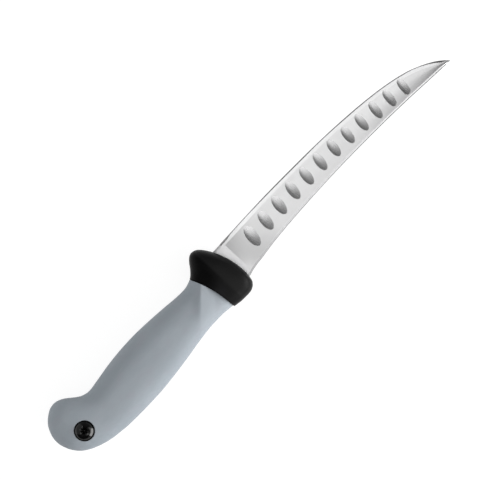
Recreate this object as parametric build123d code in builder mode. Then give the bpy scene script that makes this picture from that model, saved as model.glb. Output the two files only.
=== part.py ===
"""Fillet knife lying on its side: blade, guard, soft grip and what holds them together.

X runs along the knife to the tip, Y towards the cutting edge, and Z up through the
thickness. The origin is under the middle of the knife, on the surface that it lies on.
"""

from build123d import *
import os
from math import cos, pi, radians, sin, sqrt

# Overall sizes, in millimetres
BLADE_LENGTH = 151.0  # front of the guard to the tip
HANDLE_LENGTH = 130.8  # front of the guard to the end of the pommel
LOBE_REACH = 19.0  # knife axis to the nose of the finger lobe
PALM_REACH = 17.85  # knife axis to the back of the palm swell
GUARD_THICKNESS = 24.0  # the knife lies on the flat side of its guard
GRIP_RELIEF = 0.6  # the palm swell stays this far inside the guard's flat side

# Clearances and the overrun of cuts
FIT_GAP = 0.1  # between pieces that fit into each other
OVERRUN = 5.0

# Blade
BLADE_DEPTH = 22.4  # edge to spine at the guard
BLADE_THICKNESS = 2.0
TIP_THICKNESS = 1.1
BEVEL_THICKNESS = 0.5  # behind the bevel of the cutting edge
BEVEL_WIDTH = 2.2
MICRO_BEVEL_THICKNESS = 0.26
MICRO_BEVEL_WIDTH = 0.7
SPINE_BAND = 1.0  # width of the chamfer along the spine
SPINE_BAND_DROP = 0.25
HEEL_SETBACK = 10.0  # end of the full blade depth, inside the guard
RICASSO_BREAK = 0.2  # broken corner of the unground edge

# Hollows ground into both sides of the blade
HOLLOW_COUNT = 12
HOLLOW_START = 15.45  # guard front to the first hollow
HOLLOW_TIP_SETBACK = 26.05  # last hollow to the tip
HOLLOW_CROWDING_SHARE = 0.077  # how much the row closes up towards the tip
HOLLOW_LENGTH = 11.5
HOLLOW_END_LENGTH = 8.6  # the last hollow, at the tip
HOLLOW_WIDTH = 5.7
HOLLOW_END_WIDTH = 4.3
HOLLOW_DEPTH = 0.26
HOLLOW_RISE = 0.7  # centre of a hollow above the middle of the blade
HOLLOW_SLANT = 9.0  # degrees that the edge end leans to the tip
FAR_SIDE_LAG_SHARE = 0.5  # hollows of the far side lie half a pitch on

# Tang
TANG_COVER = 5.5  # grip's surface to the tang, at the finger groove
TANG_MARGIN = 6.2  # pommel screw to the end of the tang
TANG_END_RADIUS = 5.9
PIN_DIAMETER = 3.0
PIN_COVER = 4.9  # grip's surface to the end of a pin
PIN_SHARES = (0.293, 0.618)  # along the tang

# Guard and the seam between it and the grip
GUARD_START = 0.4  # the collar's front behind the datum of the lengths
GUARD_LENGTH = 25.5  # with the part that the seam cuts away
GUARD_BULGE = 0.25  # how far the guard's rounded side would pass its flat
SEAM_SETBACK = 17.5  # foremost point of the seam behind the guard's front
SEAM_RADIUS = 60.0
SEAM_DROP = 14.7  # knife axis to the foremost point of the seam
SEAM_LAP = 1.5  # the grip's form starts this far ahead of the seam

# Core halves inside the grip
SKIN_WALL = 2.2
GUARD_WEB = 3.0  # wall of the guard between the blade's heel and the spigot
SPIGOT_WALL = 1.5  # beside the tang
SPIGOT_COVER = 5.4  # grip's surface to the spigot's face
SPIGOT_RADIUS = 3.0
SPIGOT_ROOT = 22.5  # the spigot's form starts this far behind the seam
POCKET_LENGTH = 7.5  # pockets that keep the moulding's walls thin
POCKET_WALL = 1.5  # the tang rests on this much beside a pocket
POCKET_COVER = 5.9  # grip's surface to the pocket's floor
POCKET_SHARES = (0.378, 0.455, 0.533, 0.707, 0.785, 0.862)  # along the tang
PEG_DIAMETER = 3.0
PEG_LENGTH = 3.0
PEG_RISE = 9.0  # pommel screw to the peg in the hook
PEG_ADVANCE = 6.0

# Pommel screw and its sleeve nut
SCREW_INSET = 14.1  # end of the pommel to the screw
SCREW_OFFSET = 0.3  # towards the edge from the middle of the tang
HEAD_DIAMETER = 9.6
HEAD_HEIGHT = 3.0
HEAD_RIM = 0.7
HEAD_TOP_DIAMETER = 5.8
HEAD_CROWN = 0.35  # rise of the arc over the head's shoulder
HEAD_CLEARANCE = 0.6  # all round, in the grip
SHANK_DIAMETER = 5.0
SHANK_SHORTFALL = 5.0  # the shank stops short of the nut's pad
SLEEVE_WALL = 1.0
SLEEVE_SHORTFALL = 1.5  # the sleeve stops short of the screw's pad
SLEEVE_FLOOR = 1.0
RECESS_CORE_DIAMETER = 3.8
RECESS_LOBE_DIAMETER = 1.3
RECESS_DEPTH = 1.9
RECESS_LOBES = 6

# Finger groove, the slimmest part of the grip, as shares of the two reaches
GROOVE_EDGE_SHARE = 0.466
GROOVE_SPINE_SHARE = -0.793

# Sizes and places that follow from these
FRONT_X = (HANDLE_LENGTH - BLADE_LENGTH) / 2
AXIS_Y = (PALM_REACH - LOBE_REACH) / 2
MID_Z = GUARD_THICKNESS / 2
PAD_Z = GUARD_THICKNESS / 2 - HEAD_HEIGHT
GRIP_THICKNESS = GUARD_THICKNESS - 2 * GRIP_RELIEF
GRIP_START = SEAM_SETBACK - SEAM_LAP
SEAM_X = FRONT_X - SEAM_SETBACK - SEAM_RADIUS
SEAM_Y = AXIS_Y - SEAM_DROP

GROOVE_EDGE = LOBE_REACH * GROOVE_EDGE_SHARE
GROOVE_SPINE = PALM_REACH * GROOVE_SPINE_SHARE
TANG_DEPTH = GROOVE_EDGE - GROOVE_SPINE - 2 * TANG_COVER
TANG_LENGTH = HANDLE_LENGTH - SCREW_INSET + TANG_MARGIN
TANG_Y = AXIS_Y + (GROOVE_EDGE + GROOVE_SPINE) / 2
PIN_LENGTH = GRIP_THICKNESS - 2 * PIN_COVER
SPIGOT_DEPTH = TANG_DEPTH + 2 * SPIGOT_WALL
SPIGOT_THICKNESS = GRIP_THICKNESS - 2 * SPIGOT_COVER
SPIGOT_END = HEEL_SETBACK + GUARD_WEB

SCREW_X = FRONT_X - HANDLE_LENGTH + SCREW_INSET
SCREW_Y = TANG_Y + SCREW_OFFSET
SCREW_HOLE_DIAMETER = HEAD_DIAMETER + 2 * HEAD_CLEARANCE
SHANK_LENGTH = 2 * PAD_Z - SHANK_SHORTFALL
SLEEVE_DIAMETER = SHANK_DIAMETER + 2 * (FIT_GAP + SLEEVE_WALL)

# Blade outline: place along the blade, then edge and spine as shares of its depth
BLADE_SHARES = (
    (0.017, 0.496, -0.472),
    (0.070, 0.496, -0.434),
    (0.136, 0.496, -0.389),
    (0.229, 0.491, -0.354),
    (0.355, 0.462, -0.336),
    (0.481, 0.418, -0.347),
    (0.600, 0.350, -0.374),
    (0.706, 0.261, -0.405),
    (0.792, 0.155, -0.443),
    (0.865, 0.022, -0.482),
    (0.918, -0.132, -0.513),
    (0.958, -0.289, -0.538),
    (0.984, -0.430, -0.551),
    (1.000, -0.543, -0.560),
)
HEEL_SPINE_SHARE = -0.508
BAND_LIMIT_SHARE = 0.2  # a band takes no more than this of a narrow section

# Grip: place from its start to the end of the pommel, then the edge side, the spine
# side and the thickness as shares of the lobe's reach, the palm's reach and the
# grip's thickness
GRIP_SHARES = (
    (1.000, 0.427, -0.012, 0.298),
    (0.978, 0.646, -0.262, 0.535),
    (0.949, 0.830, -0.488, 0.737),
    (0.914, 0.957, -0.644, 0.877),
    (0.875, 0.983, -0.762, 0.939),
    (0.835, 0.879, -0.846, 0.956),
    (0.796, 0.678, -0.902, 0.952),
    (0.757, 0.536, -0.935, 0.952),
    (0.709, 0.518, -0.968, 0.961),
    (0.639, 0.568, -0.991, 0.987),
    (0.561, 0.616, -1.000, 1.000),
    (0.483, 0.642, -0.991, 1.000),
    (0.404, 0.634, -0.953, 0.978),
    (0.326, 0.600, -0.903, 0.947),
    (0.247, 0.547, -0.847, 0.917),
    (0.178, 0.495, -0.807, 0.890),
    (0.121, GROOVE_EDGE_SHARE, GROOVE_SPINE_SHARE, 0.890),
    (0.078, 0.502, -0.798, 0.921),
    (0.038, 0.615, -0.829, 0.969),
    (0.000, 0.704, -0.862, 1.009),
)

# Guard: the same kinds of share, along its own length and of its own thickness
GUARD_SHARES = (
    (1.000, 0.483, -0.829, 0.857),
    (0.863, 0.559, -0.851, 0.890),
    (0.749, 0.684, -0.871, 0.931),
    (0.648, 0.841, -0.897, 0.967),
    (0.553, 0.961, -0.925, 0.992),
    (0.455, 1.000, -0.950, 1.000),
    (0.357, 0.958, -0.958, 1.000),
    (0.263, 0.832, -0.955, 0.996),
    (0.176, 0.635, -0.935, 0.971),
    (0.102, 0.395, -0.874, 0.906),
    (0.039, 0.115, -0.767, 0.792),
    (0.000, -0.115, -0.575, 0.571),
)
SQUARENESS = 2.7  # power of the squared ovals; 2 would be an ellipse
OVAL_POINTS = 20


def behind_front(setback):
    """X of a place behind the front of the guard."""
    return FRONT_X - setback


def squared(value):
    """One coordinate of a squared oval of unit size, from a cosine or sine."""
    return abs(value) ** (2 / SQUARENESS) * (1 if value > 0 else -1)


def oval_sections(rows, start, length, thickness, skin=0):
    """Squared ovals of a table of shares, drawn in by the skin's wall."""
    sections = []
    for place, edge_share, spine_share, thickness_share in rows:
        edge = LOBE_REACH * edge_share
        spine = PALM_REACH * spine_share
        half_depth = (edge - spine) / 2 * (1 - skin / PALM_REACH)
        half_thickness = thickness / 2 * thickness_share * (1 - 2 * skin / thickness)
        x = behind_front(start + place * (length - skin))
        middle = Plane(
            origin=(x, AXIS_Y + (edge + spine) / 2, MID_Z),
            x_dir=(0, 1, 0),
            z_dir=(1, 0, 0),
        )
        turns = [2 * pi * number / OVAL_POINTS for number in range(OVAL_POINTS)]
        points = [
            (half_depth * squared(cos(turn)), half_thickness * squared(sin(turn)))
            for turn in turns
        ]
        with BuildSketch(middle) as section:
            with BuildLine():
                Spline(points, periodic=True)
            make_face()
        sections.append(section.sketch)
    return sections


def grip_sections(skin=0):
    """Squared ovals of the grip, or of what lies inside its skin."""
    length = HANDLE_LENGTH - GRIP_START
    return oval_sections(GRIP_SHARES, GRIP_START, length, GRIP_THICKNESS, skin)


def blade_section(x, half_profile):
    """One section of the blade from its upper half, spine first."""
    middle = Plane(origin=(x, AXIS_Y, MID_Z), x_dir=(0, 1, 0), z_dir=(1, 0, 0))
    upper = list(half_profile)
    lower = [(y, -z) for y, z in reversed(half_profile) if z > 0]
    with BuildSketch(middle) as section:
        with BuildLine():
            Polyline(upper + lower, close=True)
        make_face()
    return section.sketch


def blade_station(share):
    """Edge, spine and half thickness at the spine, at a share of the blade's length."""
    for before, after in zip(BLADE_SHARES, BLADE_SHARES[1:]):
        if before[0] <= share <= after[0]:
            part = (share - before[0]) / (after[0] - before[0])
            edge = BLADE_DEPTH * (before[1] + part * (after[1] - before[1]))
            spine = BLADE_DEPTH * (before[2] + part * (after[2] - before[2]))
    taper = (BLADE_THICKNESS - TIP_THICKNESS) / 2 * share
    return edge, spine, BLADE_THICKNESS / 2 - taper


def ground_section(share):
    """Section of the ground blade: spine band, flat, bevel and sharp edge."""
    edge, spine, half_spine = blade_station(share)
    limit = (edge - spine) * BAND_LIMIT_SHARE
    band = min(SPINE_BAND, limit)
    bevel = min(BEVEL_WIDTH, 2 * limit)
    micro = min(MICRO_BEVEL_WIDTH, limit)
    return blade_section(
        FRONT_X + BLADE_LENGTH * share,
        (
            (spine, half_spine - SPINE_BAND_DROP),
            (spine + band, half_spine),
            (edge - bevel, BEVEL_THICKNESS / 2),
            (edge - micro, MICRO_BEVEL_THICKNESS / 2),
            (edge, 0),
        ),
    )


def ricasso_section(x, spine_share):
    """Section of the unground blade between the tang and the grind."""
    edge = BLADE_DEPTH * BLADE_SHARES[0][1]
    spine = BLADE_DEPTH * spine_share
    half = BLADE_THICKNESS / 2
    return blade_section(
        x,
        (
            (spine, half - SPINE_BAND_DROP),
            (spine + SPINE_BAND, half),
            (edge - RICASSO_BREAK, half),
            (edge, half - RICASSO_BREAK),
        ),
    )


def cut_hollow(number, side):
    """Grind one hollow into the upper side (1) or the lower side (-1) of the blade."""
    lag = 0 if side > 0 else FAR_SIDE_LAG_SHARE
    step = (number + lag) / (HOLLOW_COUNT - 1)
    row_share = step * (1 + HOLLOW_CROWDING_SHARE * (1 - step))
    row_length = BLADE_LENGTH - HOLLOW_START - HOLLOW_TIP_SETBACK
    along = HOLLOW_START + row_length * row_share
    edge, spine, half_spine = blade_station(along / BLADE_LENGTH)
    progress = number / (HOLLOW_COUNT - 1)
    half_length = (HOLLOW_LENGTH + progress * (HOLLOW_END_LENGTH - HOLLOW_LENGTH)) / 2
    half_width = (HOLLOW_WIDTH + progress * (HOLLOW_END_WIDTH - HOLLOW_WIDTH)) / 2
    centre = (edge + spine) / 2 + HOLLOW_RISE

    flat_start = spine + SPINE_BAND
    flat_depth = edge - BEVEL_WIDTH - flat_start
    fall = (half_spine - BEVEL_THICKNESS / 2) / flat_depth
    height = half_spine - fall * (centre - flat_start)
    normal = Vector(0, fall, 1).normalized()
    slant = radians(HOLLOW_SLANT)
    lengthwise = Vector(sin(slant), cos(slant), -fall * cos(slant)).normalized()

    long_radius = (half_length**2 + HOLLOW_DEPTH**2) / (2 * HOLLOW_DEPTH)
    cross_radius = (half_width**2 + HOLLOW_DEPTH**2) / (2 * HOLLOW_DEPTH)
    reach = half_length + BLADE_THICKNESS
    reach_height = long_radius - sqrt(long_radius**2 - reach**2) - HOLLOW_DEPTH
    axis_height = cross_radius - HOLLOW_DEPTH
    spot = Vector(FRONT_X + along, AXIS_Y + centre, MID_Z + side * height)
    normal = Vector(normal.X, normal.Y, side * normal.Z)
    lengthwise = Vector(lengthwise.X, lengthwise.Y, side * lengthwise.Z)
    profile_plane = Plane(origin=spot, x_dir=lengthwise, z_dir=lengthwise.cross(normal))
    with BuildSketch(profile_plane) as profile:
        with BuildLine():
            Line((-reach, axis_height), (-reach, reach_height))
            ThreePointArc((-reach, reach_height), (0, -HOLLOW_DEPTH), (reach, reach_height))
            Line((reach, reach_height), (reach, axis_height))
            Line((reach, axis_height), (-reach, axis_height))
        make_face()
    wheel_axis = Axis(spot + normal * axis_height, lengthwise)
    revolve(profile.sketch, axis=wheel_axis, mode=Mode.SUBTRACT)


def tang_outline(gap=0):
    """Outline of the tang, widened by a gap on all sides."""
    with BuildSketch(Plane.XY.offset(MID_Z)) as outline:
        with Locations((behind_front(TANG_LENGTH) - gap, TANG_Y)):
            Rectangle(
                TANG_LENGTH - HEEL_SETBACK / 2 + gap,
                TANG_DEPTH + 2 * gap,
                align=(Align.MIN, Align.CENTER),
            )
        end_corners = outline.vertices().group_by(Axis.X)[0]
        fillet(end_corners, radius=TANG_END_RADIUS)
    return outline.sketch


def cut_ahead_of_seam(radius):
    """Cut away all that lies ahead of the seam between the guard and the grip."""
    across = LOBE_REACH + PALM_REACH
    with BuildSketch(Plane.XY) as ahead:
        with Locations((SEAM_X, AXIS_Y)):
            Rectangle(
                HANDLE_LENGTH,
                across + 2 * OVERRUN,
                align=(Align.MIN, Align.CENTER),
            )
        with Locations((SEAM_X, SEAM_Y)):
            Circle(radius, mode=Mode.SUBTRACT)
    extrude(ahead.sketch, GUARD_THICKNESS + OVERRUN, both=True, mode=Mode.SUBTRACT)


def button_head(seat):
    """Add a domed head with a six-lobe recess, on the plane of its seat."""
    half = HEAD_DIAMETER / 2
    top = HEAD_TOP_DIAMETER / 2
    shoulder = ((half + top) / 2 + HEAD_CROWN, (HEAD_RIM + HEAD_HEIGHT) / 2 + HEAD_CROWN)
    profile_plane = Plane(seat.origin, x_dir=seat.x_dir, z_dir=-seat.y_dir)
    with BuildSketch(profile_plane) as profile:
        with BuildLine():
            Polyline((0, HEAD_HEIGHT), (0, 0), (half, 0), (half, HEAD_RIM))
            ThreePointArc((half, HEAD_RIM), shoulder, (top, HEAD_HEIGHT))
            Line((top, HEAD_HEIGHT), (0, HEAD_HEIGHT))
        make_face()
    revolve(profile.sketch, axis=Axis(seat.origin, seat.z_dir))
    with BuildSketch(seat.offset(HEAD_HEIGHT)) as recess:
        Circle(RECESS_CORE_DIAMETER / 2)
        with PolarLocations(RECESS_CORE_DIAMETER / 2, RECESS_LOBES):
            Circle(RECESS_LOBE_DIAMETER / 2)
    extrude(recess.sketch, -RECESS_DEPTH, mode=Mode.SUBTRACT)


def build_core(name, keep, side):
    """Build one core half: +1 carries the screw's pad, -1 the nut's."""
    with BuildPart() as core:
        loft(grip_sections(SKIN_WALL + FIT_GAP))
        cut_ahead_of_seam(SEAM_RADIUS - FIT_GAP)

        # Spigot that reaches forward into the guard
        root = SEAM_SETBACK + SPIGOT_ROOT
        with BuildSketch(Plane.YZ.offset(behind_front(root))):
            with Locations((TANG_Y, MID_Z)):
                RectangleRounded(SPIGOT_DEPTH, SPIGOT_THICKNESS, SPIGOT_RADIUS)
        extrude(amount=root - SPIGOT_END)

        # Pads for the screw's head and the nut's head
        with BuildSketch(Plane.XY.offset(MID_Z)):
            with Locations((SCREW_X, SCREW_Y)):
                Circle(SCREW_HOLE_DIAMETER / 2 - FIT_GAP)
        extrude(amount=PAD_Z, both=True)

        # Pocket for the tang, hole for the sleeve and blind holes for the pins
        pocket = tang_outline(FIT_GAP)
        extrude(pocket, BLADE_THICKNESS / 2 + FIT_GAP, both=True, mode=Mode.SUBTRACT)
        with BuildSketch(Plane.XY.offset(MID_Z)):
            with Locations((SCREW_X, SCREW_Y)):
                Circle(SLEEVE_DIAMETER / 2 + FIT_GAP)
        extrude(amount=PAD_Z + OVERRUN, both=True, mode=Mode.SUBTRACT)
        with BuildSketch(Plane.XY.offset(MID_Z)):
            for share in PIN_SHARES:
                with Locations((behind_front(TANG_LENGTH * share), TANG_Y)):
                    Circle(PIN_DIAMETER / 2 + FIT_GAP)
        extrude(amount=PIN_LENGTH / 2 + FIT_GAP, both=True, mode=Mode.SUBTRACT)

        # Pockets under the tang, with ribs left between them
        with BuildSketch(Plane.XY.offset(MID_Z)):
            for share in POCKET_SHARES:
                with Locations((behind_front(TANG_LENGTH * share), TANG_Y)):
                    Rectangle(POCKET_LENGTH, TANG_DEPTH - 2 * POCKET_WALL)
        pocket_reach = GRIP_THICKNESS / 2 - POCKET_COVER
        extrude(amount=pocket_reach, both=True, mode=Mode.SUBTRACT)

        split(bisect_by=Plane.XY.offset(MID_Z), keep=keep)

        # Peg of one half and its socket in the other, inside the hook of the pommel
        peg_place = (SCREW_X + PEG_ADVANCE, SCREW_Y + PEG_RISE)
        with BuildSketch(Plane.XY.offset(MID_Z)):
            with Locations(peg_place):
                Circle(PEG_DIAMETER / 2 + (0 if side > 0 else FIT_GAP))
        if side > 0:
            extrude(amount=-PEG_LENGTH)
        else:
            extrude(amount=-(PEG_LENGTH + FIT_GAP), mode=Mode.SUBTRACT)
    core.part.label = name
    export_step(core.part, f"parts/{name}.step")


os.makedirs("parts", exist_ok=True)

# Blade and tang, one piece of steel
with BuildPart() as blade:
    loft([ground_section(row[0]) for row in BLADE_SHARES])
    plunge_x = FRONT_X + BLADE_LENGTH * BLADE_SHARES[0][0]
    heel = ricasso_section(behind_front(HEEL_SETBACK), HEEL_SPINE_SHARE)
    mouth = ricasso_section(FRONT_X, HEEL_SPINE_SHARE)
    plunge = ricasso_section(plunge_x, BLADE_SHARES[0][2])
    loft([heel, mouth, plunge], ruled=True)
    extrude(tang_outline(), BLADE_THICKNESS / 2, both=True)
    with Locations((SCREW_X, SCREW_Y, MID_Z)):
        Cylinder(SLEEVE_DIAMETER / 2 + FIT_GAP, BLADE_THICKNESS + OVERRUN, mode=Mode.SUBTRACT)
    for share in PIN_SHARES:
        with Locations((behind_front(TANG_LENGTH * share), TANG_Y, MID_Z)):
            Cylinder(PIN_DIAMETER / 2 + FIT_GAP, BLADE_THICKNESS + OVERRUN, mode=Mode.SUBTRACT)
    for number in range(HOLLOW_COUNT):
        cut_hollow(number, 1)
        cut_hollow(number, -1)
blade.part.label = "blade"
export_step(blade.part, "parts/blade.step")

# Guard: a closed collar with the finger lobe
with BuildPart() as guard:
    bulged = GUARD_THICKNESS + 2 * GUARD_BULGE
    loft(oval_sections(GUARD_SHARES, GUARD_START, GUARD_LENGTH, bulged))
    with Locations((FRONT_X, AXIS_Y, MID_Z)):
        Box(
            2 * HANDLE_LENGTH,
            2 * (LOBE_REACH + PALM_REACH),
            GUARD_THICKNESS,
            mode=Mode.INTERSECT,
        )
    with Locations((SEAM_X, SEAM_Y, MID_Z)):
        Cylinder(SEAM_RADIUS, 2 * GUARD_THICKNESS, mode=Mode.SUBTRACT)

    # Pocket for the heel of the blade, way through for the tang, socket for the spigot
    heel_edge = AXIS_Y + BLADE_DEPTH * BLADE_SHARES[0][1] + FIT_GAP
    heel_spine = AXIS_Y + BLADE_DEPTH * HEEL_SPINE_SHARE - FIT_GAP
    with Locations((behind_front(HEEL_SETBACK) - FIT_GAP, heel_spine, MID_Z)):
        Box(
            HEEL_SETBACK + OVERRUN,
            heel_edge - heel_spine,
            BLADE_THICKNESS + 2 * FIT_GAP,
            align=(Align.MIN, Align.MIN, Align.CENTER),
            mode=Mode.SUBTRACT,
        )
    with Locations((behind_front(HEEL_SETBACK), TANG_Y, MID_Z)):
        Box(
            HANDLE_LENGTH,
            TANG_DEPTH + 2 * FIT_GAP,
            BLADE_THICKNESS + 2 * FIT_GAP,
            align=(Align.MAX, Align.CENTER, Align.CENTER),
            mode=Mode.SUBTRACT,
        )
    with BuildSketch(Plane.YZ.offset(behind_front(HANDLE_LENGTH))):
        with Locations((TANG_Y, MID_Z)):
            RectangleRounded(
                SPIGOT_DEPTH + 2 * FIT_GAP,
                SPIGOT_THICKNESS + 2 * FIT_GAP,
                SPIGOT_RADIUS + FIT_GAP,
            )
    extrude(amount=HANDLE_LENGTH - SPIGOT_END + FIT_GAP, mode=Mode.SUBTRACT)
guard.part.label = "guard"
export_step(guard.part, "parts/guard.step")

# Grip: soft skin over the core halves
with BuildPart() as grip:
    loft(grip_sections())
    loft(grip_sections(SKIN_WALL), mode=Mode.SUBTRACT)
    cut_ahead_of_seam(SEAM_RADIUS)
    with Locations((SCREW_X, SCREW_Y, MID_Z)):
        Cylinder(SCREW_HOLE_DIAMETER / 2, 2 * GUARD_THICKNESS, mode=Mode.SUBTRACT)
grip.part.label = "grip"
export_step(grip.part, "parts/grip.step")

# Core halves, stiff mouldings that close round the tang
build_core("core_left", Keep.TOP, 1)
build_core("core_right", Keep.BOTTOM, -1)

# Pommel screw, driven from the upper side
screw_seat = Plane(origin=(SCREW_X, SCREW_Y, MID_Z + PAD_Z), x_dir=(1, 0, 0), z_dir=(0, 0, 1))
with BuildPart() as clamp_screw:
    button_head(screw_seat)
    with BuildSketch(screw_seat):
        Circle(SHANK_DIAMETER / 2)
    extrude(amount=-SHANK_LENGTH)
clamp_screw.part.label = "clamp_screw"
export_step(clamp_screw.part, "parts/clamp_screw.step")

# Sleeve nut, entered from the lower side
nut_seat = Plane(origin=(SCREW_X, SCREW_Y, MID_Z - PAD_Z), x_dir=(1, 0, 0), z_dir=(0, 0, -1))
with BuildPart() as barrel_nut:
    button_head(nut_seat)
    with BuildSketch(nut_seat):
        Circle(SLEEVE_DIAMETER / 2)
    extrude(amount=-(2 * PAD_Z - SLEEVE_SHORTFALL))
    with BuildSketch(nut_seat.offset(-SLEEVE_FLOOR)):
        Circle(SHANK_DIAMETER / 2 + FIT_GAP)
    extrude(amount=-2 * PAD_Z, mode=Mode.SUBTRACT)
barrel_nut.part.label = "barrel_nut"
export_step(barrel_nut.part, "parts/barrel_nut.step")

# Dowels through both core halves and the tang
with BuildPart() as tang_pins:
    for share in PIN_SHARES:
        with Locations((behind_front(TANG_LENGTH * share), TANG_Y, MID_Z)):
            Cylinder(PIN_DIAMETER / 2, PIN_LENGTH)
tang_pins.part.label = "tang_pins"
export_step(tang_pins.part, "parts/tang_pins.step")
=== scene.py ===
from math import asin, atan2, cos, hypot, pi, radians, sin, sqrt, tan

import bmesh
import bpy
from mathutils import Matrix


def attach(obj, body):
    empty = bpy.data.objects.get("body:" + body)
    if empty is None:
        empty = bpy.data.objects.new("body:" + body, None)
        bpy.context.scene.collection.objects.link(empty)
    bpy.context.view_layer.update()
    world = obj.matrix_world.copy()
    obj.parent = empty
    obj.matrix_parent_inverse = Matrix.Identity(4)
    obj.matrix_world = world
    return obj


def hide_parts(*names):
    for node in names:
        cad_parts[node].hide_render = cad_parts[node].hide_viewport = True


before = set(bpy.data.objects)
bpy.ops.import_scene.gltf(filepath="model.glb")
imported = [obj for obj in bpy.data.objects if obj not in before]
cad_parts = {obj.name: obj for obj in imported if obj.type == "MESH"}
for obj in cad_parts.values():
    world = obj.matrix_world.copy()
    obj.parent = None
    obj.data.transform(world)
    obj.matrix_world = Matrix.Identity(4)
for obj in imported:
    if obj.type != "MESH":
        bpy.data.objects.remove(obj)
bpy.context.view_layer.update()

MM = 0.001

# Sizes of the knife, in millimetres and degrees
BLADE_LENGTH = 151.0
HANDLE_LENGTH = 130.8
LOBE_REACH = 19.0
PALM_REACH = 17.85
GUARD_THICKNESS = 24.0
GRIP_THICKNESS = 22.8
FIT_GAP = 0.1
SQUARENESS = 2.7  # power of the squared ovals of the guard and the grip
FRONT_X = (HANDLE_LENGTH - BLADE_LENGTH) / 2
AXIS_Y = (PALM_REACH - LOBE_REACH) / 2
MID_Z = GUARD_THICKNESS / 2

# Blade
BLADE_DEPTH = 22.4
BLADE_THICKNESS = 2.0
TIP_THICKNESS = 1.1
HEEL_SETBACK = 10.0
BEVEL_WIDTH = 2.3
BEVEL_THICKNESS = 0.5
MICRO_WIDTH = 1.1
MICRO_THICKNESS = 0.42
MICRO_LIMIT_SHARE = 0.3
EDGE_HALF = 0.012
SHARPENED_START = 0.6  # ahead of the guard
SHARPENED_RUN = 1.5
BLUNT_INSET = 0.1  # broken corners of the edge that isn't sharpened
BLUNT_DROP = 0.15
SPINE_BAND = 1.1
SPINE_BAND_DROP = 0.24
BAND_LIMIT_SHARE = 0.2
SPINE_CORNER = 0.36
SPINE_CORNER_ROUND = ((0, 2.0), (0.5, 0.9), (1, 0))  # across and down, as shares of it

# Grind of the blade: each flat falls to the edge in a shallow cup
PLUNGE = 2.5
PLUNGE_RUN = 14.0
PLUNGE_POWER = 2.0
CUPPED_REACH_SHARE = 0.7
CUPPED_HEEL_SHARE = 0.35
CUPPED_SHARE = 0.12
CUPPED_TIP_SHARE = 0.8
CUPPED_RUN = 35.0
CUPPED_TIP_RUN = (70.0, 135.0)
FLAT_STEPS = 10

# Sections of the blade: those in the guard, then steps, each limit with its step
HEEL_STATIONS = (-HEEL_SETBACK, -6.0, -3.0, -1.5)
FIRST_STATION = -0.5
STATION_SPANS = (
    (6, 0.25),
    (BLADE_LENGTH - 50, 0.8),
    (BLADE_LENGTH - 6, 0.4),
    (BLADE_LENGTH - 0.2, 0.3),
)

# Hollows
HOLLOW_COUNT = 12
HOLLOW_START = 15.45
HOLLOW_TIP_SETBACK = 26.05
HOLLOW_CROWDING_SHARE = 0.077
HOLLOW_LENGTH = 11.5
HOLLOW_END_LENGTH = 8.6
HOLLOW_WIDTH = 5.7
HOLLOW_END_WIDTH = 4.3
HOLLOW_DEPTH = 0.27
HOLLOW_RISE = 0.7
HOLLOW_SLANT = 9.0
FAR_SIDE_LAG_SHARE = 0.5

# Wheel that grinds a hollow, and the rays that find the blade's outline and skin
WHEEL_POINTS = 56
WHEEL_RINGS = 11
WHEEL_REACH = 1.25  # as a share of the hollow's
WHEEL_HEIGHT = 1.5
PROBE_DROP = 4.0  # from the knife axis to a line that stays inside the blade
PROBE_LIFT = 0.02
PROBE_HEIGHT = 10.0
PROBE_LENGTH = 60.0

# Tang
TANG_DEPTH = 12.01
TANG_Y = -3.226
TANG_LENGTH = 123.0
TANG_THICKNESS = 1.9
TANG_LAP = 3.0  # into the blade's heel
TANG_END_BREAK = 0.05
TANG_END_STEPS = 16
TANG_HOLE_REACH = 3.0  # of its cutter, to each side
TANG_HOLE_POINTS = 96

# Guard
GUARD_START = 0.4
GUARD_LENGTH = 25.5
GUARD_RINGS = 69
GUARD_RING_POWER = 1.6
GUARD_POINTS = 128
FRONT_DROP = 6.5
SCOOP_START = 11.2
SCOOP_RUN = 7.5
SCOOP_SIDE = (-4.5, 5.5)
SCOOP_SHARE = 0.16
SPIGOT_DEPTH = 15.01
SPIGOT_THICKNESS = 12.0
SPIGOT_END = 13.0
SPIGOT_SQUARENESS = 7
SLOT_OVERRUN = 5.0
WAY_OVERRUN = 1.0
WAY_INSET = 0.02  # keeps its sides off those of the slot

# Seam between the guard and the grip
SEAM_SETBACK = 17.5
SEAM_RADIUS = 60.0
SEAM_DROP = 14.7
SEAM_LAP = 1.5
SEAM_EDGE_RADIUS = 0.45
SEAM_GAP_AHEAD = 0.02
SEAM_GAP_BEHIND = 0.04
SEAM_FACE = 3.0
SEAM_LEAD = 1.1  # the guard's rings take the seam's bend a little ahead of it
SEAM_TRIES = 8

# Grip
SKIN_WALL = 2.2
GRIP_POINTS = 160
GRIP_EDGE_RADIUS = 0.3
GRIP_STRAIGHT = 70.0  # from the pommel's end, where the rings begin to bend
POMMEL_RISE = 4.2
POMMEL_RUN = 6.0
POMMEL_RINGS = 26
FINE_RING_END = 21.5
FINE_RING_STEP = 0.36
RING_STEP = 0.75
LAST_RING_SETBACK = 1.2
LAST_RING_GAP = 0.05
INNER_RING_STEP = 3.0
INNER_RING_END = 7.0
INNER_POMMEL_RINGS = (6.0, 4.8, 3.8, 3.0, 2.5)
INNER_POMMEL_SHARE = 0.9  # of the wall

# Thumb's rest: a crease from the seam back, hollow on both sides, most on the thumb's
CREASE_START = (21.6, 4.2)
CREASE_END = (32.3, -5.6)
CREASE_SHARE = 0.13
CREASE_REACH = 5.0
CREASE_FADE = (2.0, 22.0)
CREASE_SOFTNESS = 0.25
THUMB_SHARE = 0.17
THUMB_REACH = 8.0
THUMB_FADE = (4.0, 30.0)

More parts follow.
